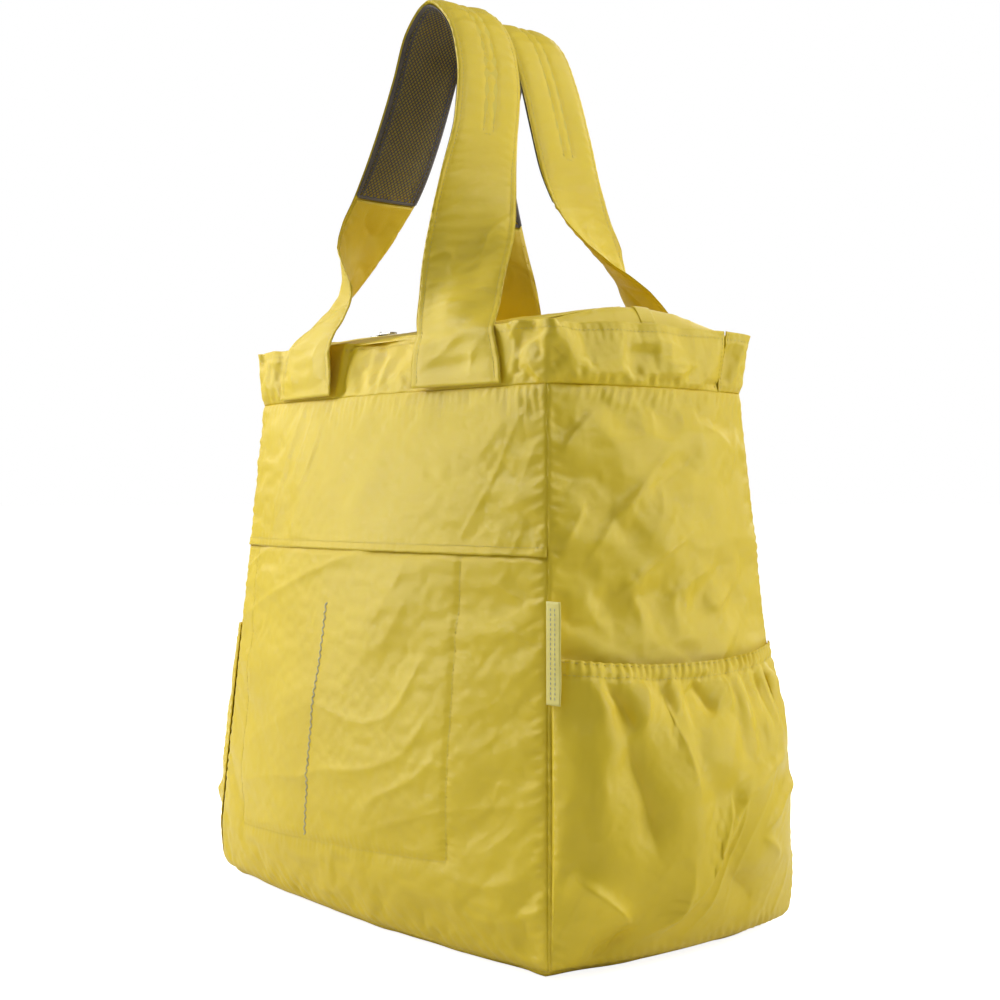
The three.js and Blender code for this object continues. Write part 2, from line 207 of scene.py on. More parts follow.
def mesh_from(name, verts, faces, uv=None):
    mesh = bpy.data.meshes.new(name)
    mesh.vertices.add(len(verts))
    mesh.vertices.foreach_set("co", np.asarray(verts, np.float32).ravel())
    faces = np.asarray(faces, np.int32)
    mesh.loops.add(faces.size)
    mesh.loops.foreach_set("vertex_index", faces.ravel())
    mesh.polygons.add(len(faces))
    mesh.polygons.foreach_set("loop_start", np.arange(0, faces.size, faces.shape[1], dtype=np.int32))
    mesh.polygons.foreach_set("use_smooth", np.ones(len(faces), bool))
    if uv is not None:
        layer = mesh.uv_layers.new(name="weave")
        layer.data.foreach_set("uv", np.asarray(uv, np.float32)[faces.ravel()].ravel())
    mesh.update(calc_edges=True)
    mesh.validate()
    return mesh


def add_piece(name, mesh, material, body, nodes=()):
    """A piece of the visual. A piece without a body is left without a parent."""
    piece = bpy.data.objects.new(name, mesh)
    bpy.context.scene.collection.objects.link(piece)
    mesh.materials.append(material)
    if body:
        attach(piece, body)
    if nodes:
        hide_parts(*nodes)
    return piece


def metres_along(points):
    """UV coordinates in metres along and across a grid."""
    u = np.concatenate([[0], np.cumsum(np.linalg.norm(np.diff(points, axis=0), axis=-1).mean(1))])
    v = np.concatenate([[0], np.cumsum(np.linalg.norm(np.diff(points, axis=1), axis=-1).mean(0))])
    return np.stack(np.broadcast_arrays(u[:, None], v[None, :]), -1).reshape(-1, 2) * MM


def closed_sheet(points, thick):
    """Verts, faces and UV of a sheet of cloth: the outer grid, an inner one, and a rim round the edge."""
    nu, nv = points.shape[:2]
    inner = points - normals_of(points) * thick
    verts = np.concatenate([points.reshape(-1, 3), inner.reshape(-1, 3)]) * MM
    outer_faces = grid_faces(nu, nv)
    count = nu * nv
    around = np.concatenate([
        np.arange(nu) * nv,
        (nu - 1) * nv + np.arange(1, nv),
        (np.arange(nu - 2, -1, -1)) * nv + nv - 1,
        np.arange(nv - 2, 0, -1),
    ])
    after = np.roll(around, -1)
    rim = np.stack([after, around, around + count, after + count], -1)
    uv = metres_along(points)
    faces = np.concatenate([outer_faces, outer_faces[:, ::-1] + count, rim])
    return verts, faces, np.concatenate([uv, uv])


def make(name, points, material, body="bag", thick=0.45):
    """A sewn piece that stands for the CAD node of the same name."""
    verts, faces, uv = closed_sheet(points, thick)
    piece = add_piece(name, mesh_from(name, verts, faces, uv), material, body, [name])
    return piece


def join_parts(parts):
    """Several (verts, faces) as one."""
    verts, faces, start = [], [], 0
    for v, f in parts:
        verts.append(v)
        faces.append(np.asarray(f) + start)
        start += len(v)
    return np.concatenate(verts), np.concatenate(faces)


# ---- Camera, floor and light ----
def facing(direction):
    return Vector(direction).to_track_quat("-Z", "Y")


def camera():
    data = bpy.data.cameras.new("camera")
    data.lens = 59.5
    data.sensor_width = 36
    data.clip_end = 50
    eye = bpy.data.objects.new("camera", data)
    bpy.context.scene.collection.objects.link(eye)
    eye.location = (0.947, -0.766, 0.296)
    eye.rotation_euler = facing((-0.773, 0.635, -0.003)).to_euler()
    bpy.context.scene.camera = eye


def area_light(name, place, aim, size, power):
    data = bpy.data.lights.new(name, "AREA")
    data.shape = "RECTANGLE"
    data.size, data.size_y = size
    data.energy = power
    lamp = bpy.data.objects.new(name, data)
    bpy.context.scene.collection.objects.link(lamp)
    lamp.location = place
    lamp.rotation_euler = facing(np.array(aim) - np.array(place)).to_euler()


def glow_for_camera(tree, light_strength, camera_strength):
    """A strength that lights the object less than the camera sees, so that the backdrop stays white."""
    path = tree.nodes.new("ShaderNodeLightPath")
    spread = tree.nodes.new("ShaderNodeMapRange")
    spread.inputs["To Min"].default_value = light_strength
    spread.inputs["To Max"].default_value = camera_strength
    tree.links.new(path.outputs["Is Camera Ray"], spread.inputs["Value"])
    return spread.outputs["Result"]


def studio():
    scene = bpy.context.scene
    scene.view_settings.view_transform = "Standard"
    world = bpy.data.worlds.new("studio")
    scene.world = world
    world.use_nodes = True
    sky = world.node_tree.nodes["Background"]
    sky.inputs["Color"].default_value = (1, 1, 1, 1)
    world.node_tree.links.new(glow_for_camera(world.node_tree, 0.23, 1.0), sky.inputs["Strength"])
    floor_material = bpy.data.materials.new("floor")
    floor_material.use_nodes = True
    surface = floor_material.node_tree.nodes["Principled BSDF"]
    surface.inputs["Base Color"].default_value = (0.85, 0.85, 0.85, 1)
    surface.inputs["Roughness"].default_value = 1.0
    surface.inputs["Specular IOR Level"].default_value = 0.0
    surface.inputs["Emission Color"].default_value = (1, 1, 1, 1)
    glow = glow_for_camera(floor_material.node_tree, 0.0, 0.9)
    floor_material.node_tree.links.new(glow, surface.inputs["Emission Strength"])
    corners = [(x * FLOOR_HALF, y * FLOOR_HALF, 0) for x, y in ((-1, -1), (1, -1), (1, 1), (-1, 1))]
    floor = bpy.data.objects.new("floor", mesh_from("floor", corners, [(0, 1, 2, 3)]))
    floor.data.materials.append(floor_material)
    scene.collection.objects.link(floor)
    floor.location.z = -0.0004
    for name, (place, aim_z, size, power) in LAMPS.items():
        area_light(name, place, (0, 0, aim_z), size, power)


# ---- Materials ----
class Nodes:
    """A short way to build a material's node tree."""

    def __init__(self, name):
        self.material = bpy.data.materials.new(name)
        self.material.use_nodes = True
        self.tree = self.material.node_tree
        self.surface = self.tree.nodes["Principled BSDF"]

    def add(self, kind, values=(), **settings):
        node = self.tree.nodes.new("ShaderNode" + kind)
        for key, value in settings.items():
            setattr(node, key, value)
        for key, value in dict(values).items():
            self.feed(node, key, value)
        return node

    def feed(self, node, key, value):
        if isinstance(value, bpy.types.NodeSocket):
            self.tree.links.new(value, node.inputs[key])
        else:
            node.inputs[key].default_value = value

    def maths(self, operation, a, b=0.0):
        return self.add("Math", {0: a, 1: b}, operation=operation).outputs[0]

    def noise(self, place, scale, detail=2.0, roughness=0.5):
        values = {"Vector": place, "Scale": scale, "Detail": detail, "Roughness": roughness}
        return self.add("TexNoise", values).outputs["Fac"]

    def ramp(self, factor, stops):
        node = self.add("ValToRGB", {"Fac": factor})
        elements = node.color_ramp.elements
        while len(elements) < len(stops):
            elements.new(0.5)
        for element, (position, color) in zip(elements, stops):
            element.position = position
            element.color = (*color, 1) if len(color) == 3 else color
        return node.outputs["Color"]

    def place(self):
        return self.add("TexCoord").outputs["Object"]

    def weave(self, threads):
        """Over-and-under threads, so many to the metre."""
        uv = self.add("UVMap", uv_map="weave").outputs["UV"]
        split = self.add("SeparateXYZ", {0: uv})
        rate = 2 * math.pi * threads
        waves = [self.maths("SINE", self.maths("MULTIPLY", split.outputs[k], rate)) for k in (0, 1)]
        return self.maths("MULTIPLY", *waves)

    def bump(self, height, distance, normal=None, strength=1.0):
        values = {"Height": height, "Distance": distance, "Strength": strength}
        if normal is not None:
            values["Normal"] = normal
        return self.add("Bump", values).outputs["Normal"]


def fabric(name, light, deep, roughness=(0.34, 0.48), threads=2200, weave_depth=0.00004, sheen=0.25,
           crinkle=0.00035, specular=0.5, scale=1.0):
    """Cloth whose colour, gloss and small creases vary from place to place."""
    n = Nodes(name)
    place = n.place()
    patches = n.noise(place, 16 * scale, 4.0, 0.6)
    n.feed(n.surface, "Base Color", n.ramp(patches, [(0.25, deep), (0.7, light)]))
    gloss = n.noise(place, 60 * scale, 3.0)
    spread = n.add("MapRange", {"Value": gloss, "To Min": roughness[0], "To Max": roughness[1]})
    n.feed(n.surface, "Roughness", spread.outputs["Result"])
    folded = n.bump(n.noise(place, 95 * scale, 5.0, 0.55), crinkle)
    n.feed(n.surface, "Normal", n.bump(n.weave(threads), weave_depth, folded))
    n.surface.inputs["Sheen Weight"].default_value = sheen
    n.surface.inputs["Sheen Roughness"].default_value = 0.4
    n.surface.inputs["Specular IOR Level"].default_value = specular
    return n.material


YELLOW = (0.86, 0.645, 0.018)
YELLOW_DEEP = (0.79, 0.585, 0.016)
GOLD = (0.82, 0.62, 0.03)
GOLD_DEEP = (0.74, 0.53, 0.02)

nylon = fabric("nylon", YELLOW, YELLOW_DEEP, roughness=(0.27, 0.38), crinkle=0.0003, sheen=0.06)
nylon_satin = fabric("nylon_satin", GOLD, GOLD_DEEP, roughness=(0.3, 0.42), sheen=0.06)
binding_tape = fabric("binding_tape", GOLD, GOLD_DEEP, (0.55, 0.7), threads=900, weave_depth=0.0001)
elastic_tape = fabric("elastic_tape", YELLOW_DEEP, GOLD_DEEP, (0.6, 0.75), threads=700, weave_depth=0.00015)
zip_tape = fabric("zip_tape", YELLOW_DEEP, GOLD_DEEP, (0.5, 0.62), threads=1100, weave_depth=0.00008)
air_mesh = fabric("air_mesh", (0.15, 0.135, 0.13), (0.08, 0.07, 0.062), (0.6, 0.8), threads=3000, sheen=0.3)
foam = fabric("foam", (0.78, 0.64, 0.1), (0.68, 0.52, 0.06), roughness=(0.75, 0.9), threads=900, sheen=0.1)
thread = fabric("thread", (0.74, 0.60, 0.10), (0.66, 0.50, 0.06), (0.45, 0.6), threads=4000, sheen=0.2)
grey_thread = fabric("grey_thread", (0.62, 0.61, 0.52), (0.45, 0.44, 0.36), (0.4, 0.55), threads=4000)
coil_plastic = fabric("coil_plastic", (0.82, 0.66, 0.1), (0.74, 0.56, 0.06), (0.25, 0.35), threads=900,
                      sheen=0.0)
nickel = fabric("nickel", (0.62, 0.61, 0.58), (0.5, 0.49, 0.46), (0.22, 0.38), threads=0, weave_depth=0,
                crinkle=0.00004, sheen=0.0, scale=4.0)
nickel.node_tree.nodes["Principled BSDF"].inputs["Metallic"].default_value = 1.0
label_ribbon = fabric("label_ribbon", (0.80, 0.72, 0.20), (0.74, 0.62, 0.12), (0.42, 0.55), threads=1500)


# ---- The bag's walls ----
def corner_at(z):
    up = clamp01((z - WIDEST_Z) / (RIM_Z - WIDEST_Z))
    band = clamp01((z - RIM_Z) / BAND_HEIGHT)
    tuck = FOOT_TUCK * clamp01(1 - z / WIDEST_Z) ** 2
    tuck = tuck + FOOT_ROUND * (1 - np.sqrt(1 - clamp01(1 - z / FOOT_ROUND) ** 2))
    return [mix(BASE_HALF[i], RIM_HALF[i], up) + BAND_FLARE[i] * band - tuck for i in (0, 1)]


def bulge_at(z, kind):
    most, lost = BULGE[kind]
    middle = RIM_Z / 2
    above = RIM_BULGE[kind] * (1 - clamp01((z - RIM_Z) / BAND_HEIGHT))
    return np.where(z > RIM_Z, above, most - lost * ((z - middle) / middle) ** 2)


def ring(t, z):
    """Points at turn t (front 0 to 1, right 1 to 2, rear 2 to 3, left 3 to 4) and height z."""
    t, z = np.broadcast_arrays(np.asarray(t, float), np.asarray(z, float))
    side = np.floor(t).astype(int) % 4
    e = 2 * (t - np.floor(t)) - 1
    hx, hy = corner_at(z)
    narrow = side % 2 == 1
    bulge = np.where(narrow, bulge_at(z, "narrow"), bulge_at(z, "wide")) * (1 - e * e)
    out = np.where(narrow, hx, hy) + bulge
    along = e * np.where(narrow, hy, hx)
    x = np.choose(side, [along, out, -along, -out])
    y = np.choose(side, [-out, along, out, -along])
    return np.stack([x, y, z], -1)


def simulate(points, pins, wrap=False, rest=None, pressure=0.0, spare=None, frames=14, bending=0.4,
             tension=12.0):
    """The grid after Blender's cloth has settled. pins holds each point to its place, from 0 to 1. rest is
    the grid that the cloth was cut as, or else spare is the share by which it is larger than the grid."""
    nu, nv = points.shape[:2]
    faces = grid_faces(nu, nv, wrap)
    mesh = mesh_from("cloth", points.reshape(-1, 3) * MM, faces)
    cloth = bpy.data.objects.new("cloth", mesh)
    scene = bpy.context.scene
    scene.collection.objects.link(cloth)
    held = cloth.vertex_groups.new(name="held")
    for weight in np.unique(pins):
        members = np.flatnonzero(pins.ravel() == weight)
        if weight > 0:
            held.add(members.tolist(), float(weight), "REPLACE")
    cloth.shape_key_add(name="Basis")
    modifier = cloth.modifiers.new("cloth", "CLOTH")
    s = modifier.settings
    if rest is not None:
        key = cloth.shape_key_add(name="rest")
        key.data.foreach_set("co", (rest.reshape(-1, 3) * MM).astype(np.float32).ravel())
        key.value = 0.0
        s.rest_shape_key = key
    if spare is not None:
        low, high = float(spare.min()), float(spare.max())
        s.shrink_min, s.shrink_max = -low, -high
        if high > low:
            looser = cloth.vertex_groups.new(name="looser")
            share = np.round((spare.ravel() - low) / (high - low), 2)
            for weight in np.unique(share):
                looser.add(np.flatnonzero(share == weight).tolist(), float(weight), "REPLACE")
            s.vertex_group_shrink = "looser"
    s.quality = 6
    s.mass = 0.05
    s.air_damping = 3.0
    s.tension_stiffness = s.compression_stiffness = tension
    s.shear_stiffness = tension / 3
    s.bending_stiffness = bending
    s.vertex_group_mass = "held"
    s.pin_stiffness = 1.0
    s.use_pressure = pressure != 0
    s.uniform_pressure_force = pressure
    s.effector_weights.gravity = 0
    modifier.collision_settings.use_collision = False
    modifier.point_cache.frame_start = 1
    modifier.point_cache.frame_end = frames
    for number in range(1, frames + 1):
        scene.frame_set(number)
    shown = cloth.evaluated_get(bpy.context.evaluated_depsgraph_get())
    settled = np.zeros(nu * nv * 3, np.float32)
    shown.data.vertices.foreach_get("co", settled)
    bpy.data.objects.remove(cloth)
    bpy.data.meshes.remove(mesh)
    scene.frame_set(1)
    return settled.reshape(nu, nv, 3).astype(float) / MM


WIDE_CELLS = 68
NARROW_CELLS = 40
WALL_ROWS = 62
TURNS = np.concatenate([
    np.arange(WIDE_CELLS) / WIDE_CELLS,
    1 + np.arange(NARROW_CELLS) / NARROW_CELLS,
    2 + np.arange(WIDE_CELLS) / WIDE_CELLS,
    3 + np.arange(NARROW_CELLS) / NARROW_CELLS,
])
WALL_HEIGHTS = np.linspace(SEAM_Z, RIM_Z, WALL_ROWS + 1)


def settle_walls():
    t, z = TURNS[:, None], WALL_HEIGHTS[None, :]
    points = ring(t, z)
    e = 2 * (t - np.floor(t)) - 1
    narrow = (np.floor(t).astype(int) % 2 == 1) * np.ones_like(z, bool)
    inside = (1 - e**8) * np.minimum(1, np.minimum(z - SEAM_Z, RIM_Z - z) / 25)
    lumps = value_noise(points / 46, 3) * 2.2 + value_noise(points / 19, 4) * np.where(narrow, 0.9, 0.2)
    points = points + normals_of(points) * (np.where(narrow, 2.0, 0.7) * lumps * inside)[..., None]
    pins = np.where(narrow, 0.02, 0.05) * np.ones_like(inside)
    on_corner = np.isclose(e, -1)
    pins = np.where(on_corner | np.isclose(z, SEAM_Z) | np.isclose(z, RIM_Z), 1.0, pins)
    spare = np.where(narrow, 0.036, 0.005)
    return simulate(points, pins, wrap=True, pressure=0.6, spare=spare, frames=16, bending=0.3)


walls = settle_walls()
walls = np.concatenate([walls, walls[:1]])


def turn_index(t):
    """The fractional row of the walls' grid at turn t."""
    known = np.append(TURNS, 4.0)
    return np.interp(t, known, np.arange(len(known)))


def wall(t, z):
    rows = turn_index(np.atleast_1d(t))
    columns = (np.atleast_1d(z) - SEAM_Z) / (RIM_Z - SEAM_Z) * WALL_ROWS
    return resample(walls, rows, columns)


def wall_grid(t, z):
    """The wall at every turn in t and height in z, with the arc length across it."""
    points = wall(t, z)
    across = np.cumsum(np.linalg.norm(np.diff(points, axis=0, prepend=points[:1]), axis=-1), axis=0)
    return points, across


# ---- Relief that sewing leaves in cloth ----
def seam(distance, along, seed, rise=0.8, pucker=0.6, reach=8.0, pitch=7.0):
    """How far cloth stands out beside a seam: nothing on the seam, then a swelling with slanting puckers."""
    away = np.maximum(distance, 0)
    swell = 1 - np.exp(-away / 2.2)
    slant = 0.3 * away
    uneven = reach * (1 + 0.45 * wobble((along + slant) / 17, seed + 2))
    return swell * (rise + pucker * ease_bump(away, uneven) * ripples(along + slant, seed, pitch))


def hemmed(folds, edges, seed, rise=0.9):
    """Relief of a panel that is sewn down at its edges, each given as its distance, way along, pucker
    height, reach and pitch. Folds and puckers all end at the edges, so that neighbours meet there."""
    held = 1.0
    total = rise
    for distance, *_ in edges:
        held = held * (1 - np.exp(-np.maximum(distance, 0) / 1.6))
        folds = folds * smooth(distance / 7)
    for k, (distance, along, pucker, reach, pitch) in enumerate(edges):
        slanted = along + 0.3 * distance
        uneven = reach * (1 + 0.45 * wobble(slanted / 17, seed + 3 * k))
        total = total + pucker * ease_bump(distance, uneven) * ripples(slanted, seed + 3 * k + 1, pitch)
    return folds + held * total


def sewn_line(distance, along, seed, depth=0.5, **sizes):
    """The groove of a line of stitches in the middle of a piece."""
    return seam(abs(distance), along, seed, rise=depth, **sizes) - depth


def streaks(side, up, degrees, length, width, depth, seed):
    """Long shallow folds at an angle to the level, over a wall's side and up distances."""
    turn = math.radians(degrees)
    along = (side * math.cos(turn) + up * math.sin(turn)) / length
    across = (up * math.cos(turn) - side * math.sin(turn)) / width
    bend = value_noise(np.stack([1.4 * along, across / 4, 0 * along], -1), seed + 1)
    field = value_noise(np.stack([along, across + 0.8 * bend, 0 * along + 0.5], -1), seed)
    return depth * (0.55 * field + 0.6 * (1 - abs(field)) ** 5 * smooth(0.5 + bend))


def fold_lines(side, up, lines):
    """Folds from one point to another, each with its width and height, and steeper on one side."""
    total = np.zeros(np.broadcast_shapes(np.shape(side), np.shape(up)))
    for side0, up0, side1, up1, width, height in lines:
        run, climb = side1 - side0, up1 - up0
        length = math.hypot(run, climb)
        share = ((side - side0) * run + (up - up0) * climb) / length**2
        bow = 0.06 * length * np.sin(math.pi * clamp01(share))
        off = ((up - up0) * run - (side - side0) * climb) / length - bow
        spread = np.where(off > 0, 0.7, 1.8) * width
        crest = np.exp(-(np.sqrt(off**2 + 1.4) - math.sqrt(1.4)) / spread)
        total += height * crest * smooth(share / 0.35) * smooth((1 - share) / 0.35)
    return total


def raised(points, height):
    return points + normals_of(points) * height[..., None]


def soft_folds(points, size, depth, seed):
    """Shallow creases of the cloth itself, too small for the simulation's grid."""
    fine = creases(points, size, seed) - 0.55
    broad = value_noise(points / (2.2 * size), seed + 20)
    return depth * (fine * (0.6 + 0.6 * broad) + 0.5 * broad)


# ---- Threads ----
def capsules(starts, ends, normals, radius):
    """Short rods with square sections and narrow ends, shaded smooth, as verts and faces."""
    along = ends - starts
    length = np.linalg.norm(along, axis=1, keepdims=True)
    along = along / np.maximum(length, 1e-6)
    side = np.cross(along, normals)
    side /= np.maximum(np.linalg.norm(side, axis=1, keepdims=True), 1e-6)
    up = np.cross(side, along)
    stations = [(0.0, 0.4, -0.6), (0.2, 1.0, 0.35), (0.8, 1.0, 0.35), (1.0, 0.4, -0.6)]
    verts = []
    for share, size, lift in stations:
        middle = starts + along * length * share + up * lift * radius
        for a, b in ((1, 1), (-1, 1), (-1, -1), (1, -1)):
            verts.append(middle + (side * a + up * b) * radius * size * 0.8)
    verts = np.stack(verts, 1)
    quads = [(3, 2, 1, 0), (12, 13, 14, 15)]
    for k in range(3):
        for m in range(4):
            a, b = 4 * k + m, 4 * k + (m + 1) % 4
            quads.append((a, b, b + 4, a + 4))
    faces = np.array(quads)[None] + 16 * np.arange(len(starts))[:, None, None]
    return verts.reshape(-1, 3), faces.reshape(-1, 4)


def stitches(line, normals, pitch=STITCH["pitch"], length=STITCH["length"], radius=STITCH["radius"]):
    """A row of stitches along a line that lies on cloth."""
    at = arc_lengths(line)
    starts_at = np.arange(0.5 * pitch, at[-1] - length, pitch)

    def spot(values, where):
        return np.stack([np.interp(where, at, values[:, k]) for k in range(3)], -1)

    return capsules(spot(line, starts_at), spot(line, starts_at + length), spot(normals, starts_at), radius)


def pick(grid, rows, columns):
    """Values of a grid at pairs of fractional row and column numbers."""
    rows, columns = np.broadcast_arrays(rows, columns)
    i = np.clip(np.floor(rows).astype(int), 0, grid.shape[0] - 2)
    j = np.clip(np.floor(columns).astype(int), 0, grid.shape[1] - 2)
    f, g = (rows - i)[:, None], (columns - j)[:, None]
    low = grid[i, j] * (1 - f) + grid[i + 1, j] * f
    high = grid[i, j + 1] * (1 - f) + grid[i + 1, j + 1] * f
    return low * (1 - g) + high * g


def seam_row(points, rows, columns, **sizes):
    return stitches(pick(points, rows, columns), pick(normals_of(points), rows, columns), **sizes)


def add_threads(name, parts, body="bag", nodes=(), material=None):
    verts, faces = join_parts(parts)
    mesh = mesh_from(name, verts * MM, faces, verts[:, [0, 2]] * MM)
    return add_piece(name, mesh, material or thread, body, nodes)


bag_threads = []


# ---- Front ----
FRONT_T = even(0.0, 1.0, 0.0046)


def front_turn(x, z):
    return (x / corner_at(z)[0] + 1) / 2


def side_edges(across, up, pucker=0.7, reach=9, pitch=7.5):
    """The two upright seams of a panel, for hemmed()."""
    return [(across, up, pucker, reach, pitch), (across[-1:] - across, up + 40, pucker, reach, pitch)]


def pocket_foot_at(x):
    return mix(*POCKET_FOOT, clamp01((x - POCKET_X[0]) / (POCKET_X[1] - POCKET_X[0])))


def front_lower_panel():
    t = FRONT_T
    z = even(SEAM_Z, SLIT_Z + 3, 1.5)
    points, across = wall_grid(t, z)
    x, high = points[..., 0], points[..., 2]
    left, right = POCKET_X
    foot = pocket_foot_at(x)
    height = streaks(x, high, 18, 120, 34, 2.2, 31) + streaks(x, high, -28, 55, 24, 0.9, 33)
    height += streaks(x, high, 35, 60, 13, 0.7, 35) * smooth((x - 100) / 60)
    inside = smooth((x - left) / 5) * smooth((right - x) / 5) * smooth((high - foot) / 5)
    height += 0.5 * inside
    beside_foot = smooth((high - foot + 6) / 4)
    for k, at in enumerate(POCKET_X):
        height += beside_foot * sewn_line(x - at, high, 60 + k, depth=0.45, pucker=0.34, reach=5, pitch=5.5)
    within = smooth((x - left + 4) / 4) * smooth((right + 4 - x) / 4)
    height += within * sewn_line(high - foot, x, 70, depth=0.4, pucker=0.5, reach=6, pitch=6)
    zigzag_x = mix(*ZIGZAG["x"], clamp01((high - ZIGZAG["low"]) / (ZIGZAG["high"] - ZIGZAG["low"])))
    along_zigzag = smooth((high - ZIGZAG["low"] + 4) / 6) * smooth((ZIGZAG["high"] + 4 - high) / 6)
    height += along_zigzag * sewn_line(x - zigzag_x, high, 80, depth=0.35, pucker=0.2, reach=5, pitch=6)
    edges = side_edges(across, high) + [(high - SEAM_Z, x + 0.5 * high, 0.8, 14, 11)]
    height = hemmed(height, edges, 40) - 1.5 * smooth((high - SLIT_Z + 5) / 5)
    points = raised(points, height)
    make("front_lower_panel", points, nylon)
    rows_per_turn = len(t) - 1
    columns_per_mm = (len(z) - 1) / (z[-1] - z[0])

    def at(x_line, z_line):
        return front_turn(x_line, z_line) * rows_per_turn, (z_line - z[0]) * columns_per_mm

    for x_line in POCKET_X:
        upright = even(pocket_foot_at(x_line), SLIT_Z - 1, 3)
        bag_threads.append(seam_row(points, *at(x_line, upright)))
    level = even(*POCKET_X, 3)
    bag_threads.append(seam_row(points, *at(level, pocket_foot_at(level))))
    zigzag(points, at)


def zigzag(points, at):
    low, high, pitch = ZIGZAG["low"], ZIGZAG["high"], ZIGZAG["pitch"]
    z = np.arange(low, high, pitch / 2)
    swing = np.where(np.arange(len(z)) % 2, 1, -1) * ZIGZAG["swing"]
    rows, columns = at(mix(*ZIGZAG["x"], (z - low) / (high - low)) + swing, z)
    line, up = pick(points, rows, columns), pick(normals_of(points), rows, columns)
    parts = [capsules(line[:-1], line[1:], up[:-1], 0.42)]
    add_threads("zigzag_seam", parts, nodes=["zigzag_seam"], material=grey_thread)


def front_upper_panel():
    t = FRONT_T
    z = even(SLIT_Z - 1.5, RIM_Z, 1.5)
    points, across = wall_grid(t, z)
    x, high = points[..., 0], points[..., 2]
    from_hem, from_rim = high - SLIT_Z, RIM_Z - high
    height = streaks(x, high, 66, 95, 17, 2.4, 32) * smooth((from_hem + 2) / 25)
    height = height * (0.45 + 0.55 * smooth(-x / 90))
    height += streaks(x, high, 60, 60, 12, 1.0, 36) * smooth((x - 90) / 50)
    edges = side_edges(across, high) + [(from_rim, x - 0.5 * from_rim, 0.6, 14, 6.5)]
    height = hemmed(height, edges, 41) + 0.9 * smooth(1 - from_hem / 10)
    height += sewn_line(from_hem - 4, x, 52, depth=0.4, pucker=0.3, reach=5, pitch=7)
    points = raised(points, height)
    make("front_upper_panel", points, nylon)
    rows = np.linspace(0, len(t) - 1, 200)
    bag_threads.append(seam_row(points, rows, np.full_like(rows, 5.5 / 1.5)))


# Folds that the gussets fall into: from (side, height), to (side, height), width, height.
GUSSET_FOLDS = [
    (-78, 248, -8, 312, 4, 2.0),
    (-62, 222, 22, 276, 5, 2.2),
    (-88, 318, -52, 352, 3, 1.6),
    (-12, 226, 42, 252, 3.5, 1.8),
    (30, 330, -34, 296, 7, -2.4),
    (62, 238, 18, 218, 4, 1.8),
    (-70, 296, -92, 262, 3, 1.5),
    (20, 344, 72, 322, 6, 2.0),
    (-50, 276, 10, 330, 3, 1.4),
    (60, 300, 84, 350, 5, 1.8),
]


def plain_panel(name, first, seed, folds=()):
    t = first + even(0.0, 1.0, 0.0048 if first % 2 == 0 else 0.0075)
    z = even(SEAM_Z, RIM_Z, 1.7)
    points, across = wall_grid(t, z)
    high = points[..., 2]
    side = across - across[-1:] / 2
    from_rim = RIM_Z - high
    height = streaks(side, high, 38, 70, 20, 1.9, seed) + streaks(side, high, -32, 50, 26, 1.1, seed + 2)
    height = height * smooth(from_rim / 30) + 1.5 * fold_lines(side, high, folds)
    edges = side_edges(across, high, pucker=0.6, reach=8)
    edges += [(high - SEAM_Z, across, 0.6, 8, 9), (from_rim, across, 0.6, 10, 7)]
    height = hemmed(height, edges, seed + 3)
    make(name, raised(points, height), nylon)


def bottom_panel():
    hx, hy = corner_at(SEAM_Z)
    flat, top = 0.93, SEAM_Z - 0.2
    u, v = np.meshgrid(np.linspace(-1, 1, 150), np.linspace(-1, 1, 100), indexing="ij")
    rim = clamp01((np.maximum(abs(u), abs(v)) - flat) / (1 - flat))
    x = u * (hx + bulge_at(SEAM_Z, "narrow") * (1 - v * v))
    y = -v * (hy + bulge_at(SEAM_Z, "wide") * (1 - u * u))
    points = np.stack([x, y, top * rim**1.8], -1)
    lumps = value_noise(points / 26, 90) * 1.2 * smooth(rim * 3) * smooth((1 - rim) * 3)
    points[..., 2] = np.maximum(points[..., 2] + lumps + 0.5, 0.5)
    make("bottom_panel", points, nylon)


# ---- Band above the rim ----
BAND_CELLS = 9
BAND_HEM = 5
DEEPEST_DENT = 1.8


def beside_straps(points):
    """1 on the band's free parts, and 0 where the ends of a strap are sewn to it."""
    long_sides = smooth((abs(points[..., 1]) - RIM_HALF[1] - 1) / 3)
    under = smooth((STRAP_HALF_WIDTH["base"] + 7 - abs(abs(points[..., 0]) - STRAP_FOOT[0][0])) / 7)
    return 1 - long_sides * under


def settle_band():
    t, z = TURNS[:, None], np.linspace(RIM_Z, RIM_Z + BAND_HEIGHT, BAND_CELLS + 1)[None, :]
    points = ring(t, z)
    e = 2 * (t - np.floor(t)) - 1
    up = (z - RIM_Z) / BAND_HEIGHT
    free = beside_straps(points)
    lumps = value_noise(points / 30, 7) * 3.0 * up * (1 - e**8) * free
    points = points + normals_of(points) * lumps[..., None]
    sewn = np.isclose(e, -1) | np.isclose(up, 0) | (beside_straps(points) < 0.5)
    pins = np.where(sewn, 1.0, 0.06) * np.ones_like(points[..., 0])
    spare = np.full_like(points[..., 0], 0.035)
    band = simulate(points, pins, wrap=True, pressure=0.0, spare=spare, frames=14, bending=0.6)
    return np.concatenate([band, band[:1]])


# Folds of the front band, over the way round from the front left corner and the height above the rim.
BAND_FOLDS = [
    (122, 2, 214, 36, 5, -3.2),
    (150, 6, 196, 30, 3, 1.4),
    (18, 30, 52, 8, 6, -1.6),
    (262, 4, 330, 32, 6, -2.4),
    (300, 6, 372, 34, 5, 2.6),
    (366, 8, 450, 22, 5, -2.4),
    (410, 26, 470, 24, 3, 1.8),
    (436, 12, 478, 14, 3, 1.4),
    (-60, 8, -10, 30, 5, -2.0),
    (-120, 28, -70, 10, 5, 1.8),
]


